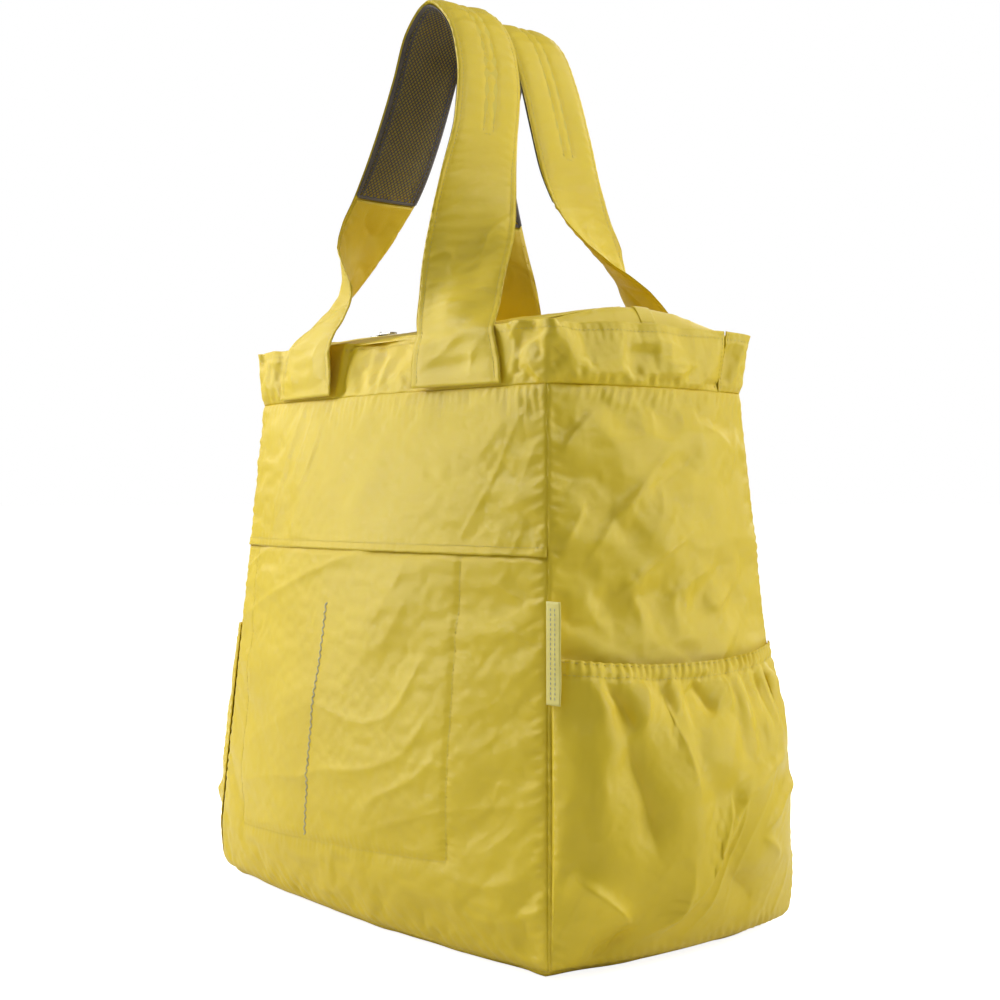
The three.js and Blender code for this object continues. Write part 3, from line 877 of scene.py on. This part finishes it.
def bands():
    band = settle_band()
    ends = {"front_band": (-0.83, 1.83), "rear_band": (1.834, 3.166)}
    for seed, (name, (first, last)) in enumerate(ends.items()):
        t = even(first, last, 0.0045)
        columns = np.linspace(0, BAND_CELLS, 31)
        wrapped = np.concatenate([band[:-1], band[:-1], band[:1]])
        rows = np.where(t < 0, turn_index(t % 4), turn_index(np.maximum(t, 0)) + len(TURNS))
        points = resample(wrapped, rows, columns)
        across = np.cumsum(np.linalg.norm(np.diff(points, axis=0, prepend=points[:1]), axis=-1), axis=0)
        round_front = across - across[np.argmin(abs(t))]
        up = columns[None, :] / BAND_CELLS * BAND_HEIGHT
        height = streaks(round_front, up, 24, 60, 13, 2.6, 120 + seed)
        if name == "front_band":
            height += 1.2 * fold_lines(round_front, up, BAND_FOLDS)
        from_hem = BAND_HEIGHT - BAND_HEM - up
        height += sewn_line(from_hem, across, 140 + seed, depth=0.5, pucker=0.3, pitch=6, reach=5)
        height = hemmed(height * beside_straps(points), [(up, across, 0.5, 8, 7)], 130 + seed, rise=0.4)
        height = np.where(height < 0, DEEPEST_DENT * np.tanh(height / DEEPEST_DENT), height)
        points = raised(points, height)
        make(name, points, nylon, thick=0.9)
        rows = np.linspace(0, len(t) - 1, 500)
        hem = np.full_like(rows, (1 - BAND_HEM / BAND_HEIGHT) * 30)
        bag_threads.append(seam_row(points, rows, hem, pitch=3.4))
        for end in (3, len(t) - 4):
            joint = np.linspace(1, 29, 30)
            bag_threads.append(seam_row(points, np.full_like(joint, end), joint))


# ---- Tapes and linings inside ----
def inner_strip(name, t, z, depth, thick=0.5):
    points = wall(t, z)
    points = raised(points, np.full(points.shape[:2], -depth))
    make(name, points, binding_tape, thick=thick)


def inside_tapes():
    ends = {"front_left": 3.97, "front_right": 1.03, "rear_right": 1.97, "rear_left": 3.03}
    for corner, t in ends.items():
        strip = np.linspace(t - 0.024, t + 0.024, 6)
        inner_strip(f"{corner}_seam_binding", strip, even(22, 354, 3), 3.2)
    inner_strip("rim_binding", even(0.0, 4.0, 0.012), even(356, 365.8, 1.7), 3.2)


def pocket_lining():
    share_x, share_z = np.linspace(-1, 1, 90)[:, None], np.linspace(-1, 1, 80)[None, :]
    middle_x, half_x = np.mean(POCKET_X), np.ptp(POCKET_X) / 2
    middle_z, half_z = np.mean(POCKET_Z), np.ptp(POCKET_Z) / 2
    x, z = np.broadcast_arrays(middle_x + half_x * share_x, middle_z + half_z * share_z)
    points = ring(front_turn(x, z), z)
    points[..., 1] += 3.0 + 14 * (1 - share_x**6) * (1 - share_z**6)
    points = raised(points, soft_folds(points, 30, 1.6, 150))
    make("front_pocket_lining", points, nylon_satin)


# ---- Side pockets ----
def pocket_surface(t, share, start):
    """The gathered pocket's surface at a share of its height."""
    s = SIDE_POCKET
    e = 2 * (t - start) - 1
    top = s["ends"] - s["dip"] * (1 - e * e)
    z = mix(s["foot"], top, share)
    points = ring(t, z)
    grip = np.where(points[..., 1] < 0, SIDE_POCKET_GRIP["front"], SIDE_POCKET_GRIP["rear"])
    swell = s["mouth"] * share + s["belly"] * np.sin(math.pi * share)
    points[..., 0] += np.sign(points[..., 0]) * (s["lift"] + (1 - abs(e) ** grip) * swell)
    return points


# Folds that a filled side pocket falls into, over the way from its front seam and the height above its foot.
POCKET_FOLDS = [
    (150, 122, 54, 8, 8, 6.0),
    (8, 62, 56, 22, 6, 5.0),
    (44, 150, 66, 62, 9, -4.5),
    (60, 26, 22, 2, 6, -5.0),
    (78, 168, 96, 96, 7, 3.0),
    (152, 70, 214, 104, 4, 3.2),
    (128, 92, 196, 120, 5, 2.8),
    (150, 72, 186, 50, 3, 1.8),
    (30, 178, 56, 140, 5, -3.4),
    (64, 180, 58, 142, 4, 2.2),
    (108, 178, 122, 148, 5, -2.6),
    (140, 180, 134, 150, 5, 2.4),
    (176, 178, 168, 138, 5, -2.4),
    (196, 178, 214, 130, 6, 3.0),
    (90, 60, 74, 14, 5, 3.0),
    (120, 52, 170, 18, 9, -2.2),
]
POCKET_HEIGHT = 185


def side_pocket(name, start, seed):
    across_cells, up_cells = 60, 46
    share_t, share_z = np.linspace(0, 1, across_cells + 1)[:, None], np.linspace(0, 1, up_cells + 1)[None, :]
    points = pocket_surface(start + 0.002 + 0.996 * share_t, share_z, start)
    gathers = np.sin(2 * math.pi * (7.5 * share_t + 1.3 * wobble(share_t * 6, seed) + 0.25 * share_z))
    inside = np.sin(math.pi * share_t) ** 0.4
    near_top = smooth((share_z - 0.62) / 0.3) * smooth((1 - share_z) * 8)
    depth = inside * (gathers * 2.6 * near_top + value_noise(points / 34, seed) * 4 * smooth(share_z * 4))
    points = raised(points, depth)
    width, length = SIDE_POCKET_CUT
    rest = np.stack(np.broadcast_arrays(share_t * width, 0 * share_z, share_z * length), -1)
    pins = np.zeros_like(depth)
    pins[[0, -1]] = 1.0
    pins[:, [0, -1]] = 1.0
    settled = simulate(points, pins, rest=rest, pressure=1.2, frames=16, bending=0.35)
    rows, columns = np.linspace(0, across_cells, 220), np.linspace(0, up_cells, 150)
    points = resample(settled, rows, columns)
    across = np.cumsum(np.linalg.norm(np.diff(points, axis=0, prepend=points[:1]), axis=-1), axis=0)
    up = columns[None, :] / up_cells * POCKET_HEIGHT
    from_front = across if start == 1 else across[-1:] - across
    below_hem = POCKET_HEIGHT - up
    height = 1.4 * fold_lines(from_front * 235 / across[-1:], up, POCKET_FOLDS)
    height += streaks(from_front, up, 62, 60, 15, 2.0, seed + 1)
    height += streaks(from_front, up, 8, 50, 30, 1.6, seed + 6)
    height = height * smooth(below_hem / 8)
    height += ease_bump(below_hem, 10) * 1.3 * ripples(across, seed + 3, 6.0)
    height -= 0.9 * ease_bump(below_hem - 9, 1.8)
    edges = side_edges(across, up, pucker=0.6, reach=8) + [(up, across, 0.7, 8, 8)]
    height = hemmed(height, edges, seed + 2)
    points = raised(points, height)
    piece = f"{name}_side_pocket"
    make(piece, points, nylon)
    tape = points[8:-8:2, -9:-1]
    tape = tape - normals_of(tape) * 1.6
    make(f"{name}_pocket_elastic", tape, elastic_tape, thick=0.8)
    rows = np.linspace(2, 217, 200)
    for down in (1.8, 9.0):
        bag_threads.append(seam_row(points, rows, np.full_like(rows, (1 - down / POCKET_HEIGHT) * 149)))


# ---- Label ----
def label():
    low, high = ring(1.0, LABEL["z"]), ring(1.0, LABEL["z"] + LABEL["height"])
    up = (high - low) / np.linalg.norm(high - low)
    foot = low + np.array([*LABEL["off"], 0])
    turn = np.linspace(-math.pi / 2, math.pi / 2, 9)
    reach, half = LABEL["width"] - 0.9, 0.75
    flat = np.linspace(0, reach, 8)[:-1]
    outline = [(x, -half) for x in flat]
    outline += [(reach + 0.9 * math.cos(a), half * math.sin(a)) for a in turn]
    outline += [(x, half) for x in flat[::-1]]
    outline = np.array(outline)
    heights = np.linspace(0, LABEL["height"], 40)
    curl = 0.7 * np.sin(heights / 19) + 0.3 * np.sin(heights / 7)
    points = foot + outline[:, None, :1] * np.array([1, 0, 0]) + heights[None, :, None] * up
    lean = outline[:, None, 1:] + curl[None, :, None] * (outline[:, None, :1] / LABEL["width"]) ** 2
    points = points + lean * np.array([0, 1, 0])
    make("label_tab", points, label_ribbon, "label", thick=0.3)
    rows = np.full(60, 2.5)
    columns = np.linspace(1, 38, 60)
    marks = [seam_row(points, rows + k, columns) for k in (0, 2.4)]
    add_threads("label_stitches", marks, "label", material=grey_thread)


# ---- Closure ----
COIL_HALF = 146


def arch(y):
    return FLAP["rise"] * np.sin(math.pi / 2 * (1 - abs(y) / FLAP["hinge"]))


def closure():
    half = FLAP["half_length"]
    for name, sign, seed in (("front", -1, 200), ("rear", 1, 210)):
        body = f"{name}_flap"
        out = np.sort(sign * even(FLAP["edge"], FLAP["hinge"], 2.0))
        x, y = np.meshgrid(even(-half, half, 2.4), out, indexing="ij")
        points = np.stack([x, y, FLAP["z"] + arch(y)], -1)
        from_zip, from_hinge = abs(y) - FLAP["edge"], FLAP["hinge"] - abs(y)
        height = streaks(x, y, 12, 90, 26, 2.0, seed) + streaks(x, y, 75, 50, 22, 1.2, seed + 3)
        height = height * smooth(from_hinge / 12) * smooth(from_zip / 12)
        height += sewn_line(from_zip - 3, x, seed + 1, depth=0.4, pucker=0.6, pitch=8, reach=8)
        points = raised(points, height)
        make(f"{name}_closure_flap", points, nylon, body)
        edge = np.full(260, 1.5 if sign > 0 else points.shape[1] - 2.5)
        threads = [seam_row(points, np.linspace(0, points.shape[0] - 1, 260), edge)]
        add_threads(f"{name}_flap_stitches", threads, body)
        out = np.sort(sign * np.linspace(2.6, 12.6, 8))
        x, y = np.meshgrid(even(-half, half, 3), out, indexing="ij")
        tape = np.stack([x, y, FLAP["z"] + arch(y) - 1.6 + 0.1 * np.sin(x / 5)], -1)
        make(f"top_zip_{name}_tape", tape, zip_tape, body, thick=0.5)
        teeth_x = np.arange(-COIL_HALF, COIL_HALF, 1.5)
        top = FLAP["z"] + FLAP["rise"]
        starts = np.stack(np.broadcast_arrays(teeth_x, sign * 0.25, top - 0.2), -1)
        ends = starts + np.array([0.3, sign * 2.5, 0])
        up = np.tile([0.0, 0.0, 1.0], (len(starts), 1))
        cord_half = COIL_HALF + 0.5
        cords = [np.array([[x, sign * at, top - 0.5] for x in (-cord_half, cord_half)]) for at in (0.9, 2.3)]
        parts = [capsules(starts, ends, up, 0.62)]
        parts += [capsules(c[:1], c[1:], up[:1], 0.55) for c in cords]
        add_threads(f"top_zip_{name}_coil", parts, body, [f"top_zip_{name}_coil"], coil_plastic)


def closure_ends():
    start, length = FLAP["half_length"] + 0.6, 11.6
    for name, sign in (("left", -1), ("right", 1)):
        def place(x, y, lift):
            share = clamp01((abs(x) - start) / length)
            return np.stack([x, y, FLAP["z"] + 0.2 + lift + arch(y) * (1 - share * share)], -1)
        out = np.sort(sign * (start + np.linspace(0, length, 8)))
        x, y = np.meshgrid(out, even(-88, 88, 2), indexing="ij")
        points = place(x, y, -0.1)
        points = raised(points, soft_folds(points, 14, 0.8, 230))
        make(f"{name}_closure_end", points, nylon)
        out = np.sort(sign * (start + np.linspace(0.4, 10.6, 8)))
        x, y = np.meshgrid(out, np.linspace(-7, 7, 12), indexing="ij")
        make(f"{name}_zip_tab", place(x, y, 0.7), nylon, thick=0.4)


def metal_parts():
    for name in ("zip_slider", "zip_pull"):
        materials = bpy.data.objects[name].data.materials
        materials.clear()
        materials.append(nickel)


# ---- Straps ----
def strap_half_width(z):
    w = STRAP_HALF_WIDTH
    near_base = mix(w["base"], w["leg"], smooth((z - RIM_Z) / (w["leg_z"] - RIM_Z)))
    apex = FRONT_STRAP[-1][2]
    return near_base + (w["top"] - w["leg"]) * clamp01((z - w["leg_z"]) / (apex - w["leg_z"]))


def catmull_rom(points, per_piece=40):
    """The centripetal Catmull-Rom curve through points."""
    p = np.concatenate([[2 * points[0] - points[1]], points, [2 * points[-1] - points[-2]]])
    gaps = np.sqrt(np.linalg.norm(np.diff(p, axis=0), axis=1))
    out = [points[:1]]
    f = (np.arange(per_piece) + 1)[:, None] / per_piece
    for k in range(1, len(p) - 2):
        a, b, c = gaps[k - 1 : k + 2]
        p0, p1, p2, p3 = p[k - 1 : k + 3]
        m1 = ((p1 - p0) / a - (p2 - p0) / (a + b) + (p2 - p1) / b) * b
        m2 = ((p2 - p1) / b - (p3 - p1) / (b + c) + (p3 - p2) / c) * b
        near = (2 * f**3 - 3 * f**2 + 1) * p1 + (f**3 - 2 * f**2 + f) * m1
        out.append(near + (3 * f**2 - 2 * f**3) * p2 + (f**3 - f**2) * m2)
    return np.concatenate(out)


class Strap:
    """One shoulder strap: the surface through its middle, from which its layers are measured."""

    def __init__(self, name, left_half, right_half, face, seed):
        self.name, self.face, self.seed = name, face, seed
        left = [(-x, face * out, z) for x, out, z in left_half]
        right = [(x, face * out, z) for x, out, z in right_half[-2::-1]]
        self.line = catmull_rom(np.array(left + right, float))
        self.at = arc_lengths(self.line)
        self.length = self.at[-1]

    def surface(self, share, w):
        """Points at shares of the length and at w from -1 to 1 across."""
        middle = np.stack([np.interp(share * self.length, self.at, self.line[:, k]) for k in range(3)], -1)
        half = strap_half_width(middle[:, 2])
        dense = np.linspace(-1, 1, 41)
        turn = self.turn_at(middle[:, :1], middle[:, 2:], dense)
        side = -self.face * np.sign(middle[:, :1])
        across = np.stack([side * np.cos(turn), np.sin(turn), 0 * turn], -1) * half[:, None, None]
        steps = (across[:, 1:] + across[:, :-1]) / 2 * (dense[1] - dense[0])
        reach = np.concatenate([0 * steps[:, :1], np.cumsum(steps, axis=1)], axis=1)
        reach -= reach[:, 20:21]
        rows = np.broadcast_to(np.arange(len(share), dtype=float)[:, None], w.shape)
        spots = pick(reach, rows.ravel(), (w.ravel() + 1) * 20).reshape(*w.shape, 3)
        return middle[:, None] + spots, half

    def turn_at(self, x, z, w):
        """The way that the strap faces. One edge of a folded leg turns later than the other."""
        t, folded = STRAP_TURN, FOLDED_LEG
        plain = (1 - clamp01((z - t["low"]) / t["span"])) ** t["ease"] + 0 * w
        late = z - folded["lag"] * (1 - w) / 2
        curled = (1 - clamp01((late - t["low"]) / t["span"])) ** folded["ease"]
        flatness = np.where(self.face * x > 0, curled, plain)
        return np.radians(mix(90, t["base"], flatness))

    def pad_rise(self, share):
        low, high = STRAP_PAD["share"]
        return STRAP_PAD["half"] * smooth(np.minimum(share - low, high - share) / STRAP_PAD["fade"])

    def layer(self, share, w, height):
        """A layer at a height from the middle surface; w and height may differ from point to point."""
        share = np.asarray(share, float)
        dense_w = np.linspace(-1, 1, 25)
        points, half = self.surface(share, np.tile(dense_w, (len(share), 1)))
        normals = normals_of(points)
        columns = (np.broadcast_to(w, (len(share), np.shape(w)[-1])) + 1) / 2 * 24
        rows = np.broadcast_to(np.arange(len(share))[:, None], columns.shape)
        flat_rows, flat_columns = rows.ravel().astype(float), columns.ravel()
        spots = pick(points, flat_rows, flat_columns).reshape(*columns.shape, 3)
        ups = pick(normals, flat_rows, flat_columns).reshape(*columns.shape, 3)
        return spots + ups * np.broadcast_to(height, columns.shape)[..., None]


def leg_folds(share, w, length, seed):
    """The soft folds of a strap's unpadded legs."""
    at = share[:, None] * length
    broad = np.stack(np.broadcast_arrays(at / 45, w[None, :] * 1.1, 0 * w), -1)
    fine = np.stack(np.broadcast_arrays(at / 17 + 1.2 * w[None, :], w[None, :] * 1.9, 0 * w), -1)
    low, high = STRAP_PAD["share"]
    loose = 1 - 0.85 * smooth((share - low + 0.05) / 0.07) * smooth((high + 0.05 - share) / 0.07)
    ends = smooth(share / 0.03) * smooth((1 - share) / 0.03)
    folds = value_noise(broad, seed) * 3.0 + value_noise(fine, seed + 1) * 0.9
    folds += 1.1 * (1 - abs(value_noise(fine * 0.8, seed + 2))) ** 5
    return folds * (loose * ends)[:, None]


def sew_down(piece):
    """Bakes a strap layer's place into its mesh; the layer is attached to no body."""
    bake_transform(piece)


def strap_layers(name, left_half, right_half, face, seed):
    strap = Strap(name, left_half, right_half, face, seed)
    body = f"{name}_strap"
    strap_shell(strap, body)
    strap_pad(strap, body)
    net(strap, body)
    strap_linings(strap, body)


def strap_shell(strap, body):
    """The outer cloth, with its edges folded under and the padding's two rows of stitches."""
    name, seed = strap.name, strap.seed
    low, high = STRAP_PAD["share"]
    half_width = STRAP_PAD["half_width"]
    share = even(0.001, 0.999, 2.0 / strap.length)
    along = share[:, None] * strap.length
    inner = np.linspace(-1, 1, 49)[1:-1] * 0.985
    w = np.concatenate([[-0.9, -0.955, -0.99, -1.0], inner, [1.0, 0.99, 0.955, 0.9]])
    over = np.ones(len(w), bool)
    over[:3] = over[-3:] = False
    from_edge = (1 - abs(w))[None, :] * half_width
    crown = strap.pad_rise(share)[:, None] * (1 - abs(w) ** 6)
    folds = leg_folds(share, w, strap.length, seed)
    relief = 0.9 + sewn_line(from_edge - 4, along, seed + 2, depth=0.7, pucker=0.55, reach=7, pitch=7.5)
    across_ripples = 0.45 * ripples(along + 3 * w[None, :], seed + 6, 12) * (1 - w[None, :] ** 2)
    span = (low + CHANNEL["from"], high - CHANNEL["from"])
    inside = smooth((share - span[0]) / 0.006)[:, None] * smooth((span[1] - share) / 0.006)[:, None]
    side = w[None, :] * half_width
    for line in (-CHANNEL["half"], CHANNEL["half"]):
        groove = sewn_line(side - line, along, seed + 8, depth=1.3, pucker=0.15, reach=5, pitch=8)
        relief = relief + inside * groove
    height = np.where(over[None, :], crown + folds + relief + across_ripples, folds - 0.9 - crown * 0.3)
    height = np.where((abs(w) >= 0.985)[None, :], folds + 0.1, height)
    points = strap.layer(share, w, height)
    shell = make(f"{name}_strap_shell", points, nylon, None, thick=0.4)
    sew_down(shell)

    def column(side_mm):
        return np.interp(side_mm / half_width, w[4:-4], np.arange(4, len(w) - 4))

    rows = np.arange(2, len(share) - 2, 1.5)
    edges = (half_width - 4, 4 - half_width)
    threads = [seam_row(points, rows, np.full_like(rows, column(at))) for at in edges]
    first, last = (np.interp(at, share, np.arange(len(share))) for at in span)
    rows = np.arange(first, last, 1.5)
    channel = (-CHANNEL["half"], CHANNEL["half"])
    threads += [seam_row(points, rows, np.full_like(rows, column(at))) for at in channel]
    for end in (first, last):
        columns = np.linspace(column(channel[0]), column(channel[1]), 8)
        threads.append(seam_row(points, np.full_like(columns, end), columns))
    sew_down(add_threads(f"{name}_strap_stitches", threads, None))


def strap_pad(strap, body):
    low, high = STRAP_PAD["share"]
    name = f"{strap.name}_strap_pad"
    share = even(low + 0.01, high - 0.01, 4.0 / strap.length)
    rise = strap.pad_rise(share)[:, None]
    turn = np.linspace(0, 2 * math.pi, 40)
    w = 0.8 * np.cos(turn)
    height = (0.15 + 0.9 * rise) * np.sign(np.sin(turn)) * abs(np.sin(turn)) ** 0.5
    points = strap.layer(share, w, height)
    mesh = mesh_from(name, points.reshape(-1, 3) * MM, grid_faces(*points.shape[:2]), metres_along(points))
    piece = add_piece(name, mesh, foam, body, [name])


def strap_linings(strap, body):
    low, high = STRAP_PAD["share"]
    half_width = STRAP_PAD["half_width"]
    spans = {"left": (0.001, low - 0.002), "right": (high + 0.002, 0.999)}
    for side, (first, last) in spans.items():
        share = even(first, last, 2.4 / strap.length)
        w = np.linspace(-0.93, 0.93, 30)
        along = share[:, None] * strap.length
        sag = leg_folds(share, w, strap.length, strap.seed)
        from_edge = (1 - abs(w[None, :])) * half_width
        relief = sewn_line(from_edge - 4, along, strap.seed + 12, depth=0.5, pucker=0.5)
        from_net = abs(along - (last if side == "left" else first) * strap.length)
        relief = relief + 0.7 * ease_bump(from_net - 2, 2.5) * np.ones_like(relief)
        lining = strap.layer(share, w, sag - 1.3 - relief)
        piece = make(f"{strap.name}_strap_{side}_lining", lining[:, ::-1], nylon_satin, None,
                     thick=0.3)
        sew_down(piece)


def net(strap, body):
    """The open knitted mesh on the padded part: two families of crossing ribs, with borders round them."""
    low, high = STRAP_PAD["share"]
    half_width = STRAP_PAD["half_width"]
    first, last = low * strap.length + 1, high * strap.length - 1
    half = half_width * 0.93
    share = even(low, high, 3.0 / strap.length)
    w = np.linspace(-1, 1, 23)
    rise = strap.pad_rise(share)[:, None]
    base = strap.layer(share, w, -1.3 - rise * (1 - abs(w) ** 6))
    up = -normals_of(base)

    def spot(grid, along, across):
        rows = (along / strap.length - low) / (high - low) * (len(share) - 1)
        return pick(grid, rows, (across / half_width + 1) / 2 * (len(w) - 1))

    def rib(along, across, width, height):
        across = np.broadcast_to(across, along.shape)
        return ribbon(spot(base, along, across), spot(up, along, across), width, height)

    parts = []
    for slope in (1, -1):
        for start in np.arange(first - 2 * half, last, NET["step"]):
            across = np.linspace(-half, half, 25)
            along = start + half + slope * across * NET["slope"]
            inside = (along > first) & (along < last)
            if inside.sum() > 2:
                parts.append(rib(along[inside], across[inside], NET["rib"], 0.35))
    along = even(first, last, 4)
    for edge in (-1, 1):
        parts.append(rib(along, edge * half, NET["border"], 0.5))
        parts.append(rib(along, edge * (half - 4), 1.4, 0.45))
    across = np.linspace(-half, half, 25)
    for end in (first, last):
        parts.append(rib(np.full_like(across, end), across, 2.4, 0.5))
    verts, faces = join_parts(parts)
    name = f"{strap.name}_strap_mesh"
    mesh = mesh_from(name, verts * MM, faces, verts[:, [0, 2]] * MM)
    add_piece(name, mesh, air_mesh, body, [name])


def ribbon(line, up, width, height):
    """A closed flat cord along a line, as verts and faces."""
    along = np.gradient(line, axis=0)
    side = np.cross(along, up)
    side /= np.maximum(np.linalg.norm(side, axis=1, keepdims=True), 1e-6)
    corners = [(-0.5, 0), (-0.25, 1), (0.25, 1), (0.5, 0)]
    verts = np.stack([line + side * a * width + up * b * height for a, b in corners], 1)
    count = len(line)
    faces = [(3, 2, 1, 0), tuple(4 * (count - 1) + k for k in range(4))]
    start = np.arange(count - 1) * 4
    under = np.stack([start + 3, start + 7, start + 4, start], -1)
    return verts.reshape(-1, 3), np.concatenate([np.array(faces), grid_faces(count, 4), under[:, ::-1]])


def main():
    camera()
    studio()
    front_lower_panel()
    front_upper_panel()
    plain_panel("right_gusset", 1, 300, GUSSET_FOLDS)
    plain_panel("back_panel", 2, 320)
    plain_panel("left_gusset", 3, 340, GUSSET_FOLDS)
    bottom_panel()
    bands()
    inside_tapes()
    pocket_lining()
    side_pocket("right", 1, 400)
    side_pocket("left", 3, 420)
    label()
    closure()
    closure_ends()
    metal_parts()
    strap_layers("front", FRONT_STRAP_LEFT_LEG, FRONT_STRAP, -1, 500)
    strap_layers("rear", REAR_STRAP, REAR_STRAP, 1, 520)
    add_threads("bag_stitches", bag_threads)


main()
